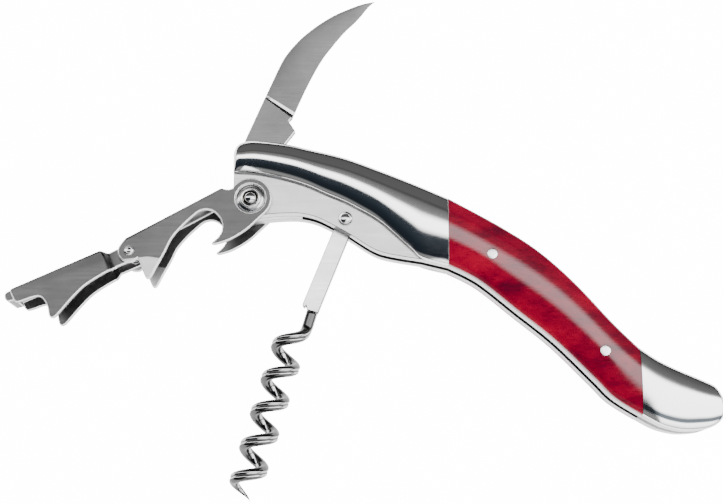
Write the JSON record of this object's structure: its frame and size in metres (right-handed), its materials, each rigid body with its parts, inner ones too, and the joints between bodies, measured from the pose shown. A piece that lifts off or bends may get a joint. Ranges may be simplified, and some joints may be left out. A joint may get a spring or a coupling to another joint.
{
  "type": "lever corkscrew",
  "caption": "Waiter's corkscrew: curved handle with steel bolsters and red bone scales, a folding worm, a hooked foil blade and a folding two-step lever, all open.",
  "frame": {"origin": "centre of the bounding box, at the surface that the right side rests on", "axes": "+Z out of the left side, up when the corkscrew lies on its right side; +X from the lever towards the tail of the handle; +Y towards the handle's back, where the blade folds in"},
  "size_m": [0.1532, 0.1134, 0.013],
  "materials": {
    "liner": "satin stainless steel",
    "bolster": "mirror-polished stainless steel",
    "scale": null,
    "spring": "ground spring steel",
    "pin": "polished stainless steel",
    "bush": "turned",
    "blade": "satin stainless steel",
    "lever": "satin nickel-plated steel with bright rounded edges",
    "shank": "satin stainless steel",
    "worm": "polished steel wire"
  },
  "bodies": {
    "handle": {"left_liner": "liner", "right_liner": "liner", "left_front_bolster": "bolster", "right_front_bolster": "bolster", "left_scale": "scale", "right_scale": "scale", "left_rear_bolster": "bolster", "right_rear_bolster": "bolster", "back_spring": "spring", "tail_spacer": "spring", "front_spacer": "spring", "scale_pin_front": "pin", "scale_pin_rear": "pin", "frame_pin": "pin", "blade_pivot_pin": "pin", "worm_rivet": "pin"},
    "worm": {"worm_shank": "shank", "worm_wire": "worm"},
    "lever_hub": {"lever_rivet": "pin", "left_lever_washer": "pin", "right_lever_washer": "pin", "lever_bush": "bush"},
    "first_step": {"upper_lever": "lever", "knee_rivet": "pin"},
    "second_step": {"lower_lever": "lever"},
    "blade": {"foil_blade": "blade"}
  },
  "joints": [
    {"name": "worm_fold", "type": "hinge", "parent": "handle", "child": "worm", "pos_m": [-0.0033, 0.00383, 0.0065], "axis": [0, 0, 1], "range_deg": [0, 74]},
    {"name": "lever_close", "type": "hinge", "parent": "handle", "child": "lever_hub", "pos_m": [-0.024, 0.00813, 0.0065], "axis": [0, 0, 1], "range_deg": [0, 74]},
    {"name": "lever_swing", "type": "hinge", "parent": "lever_hub", "child": "first_step", "pos_m": [-0.024, 0.00813, 0.0065], "axis": [0, 0, 1], "range_deg": [-28, 46]},
    {"name": "knee_fold", "type": "hinge", "parent": "first_step", "child": "second_step", "pos_m": [-0.04992, -0.00366, 0.0065], "axis": [0, 0, 1], "range_deg": [-60, 5]},
    {"name": "blade_fold", "type": "hinge", "parent": "handle", "child": "blade", "pos_m": [-0.0234, 0.01743, 0.0065], "axis": [0, 0, -1], "range_deg": [-80, 81.5]}
  ],
  "couplings": [
    {"joint": "worm_fold", "follows": "lever_close", "ratio": 1}
  ]
}
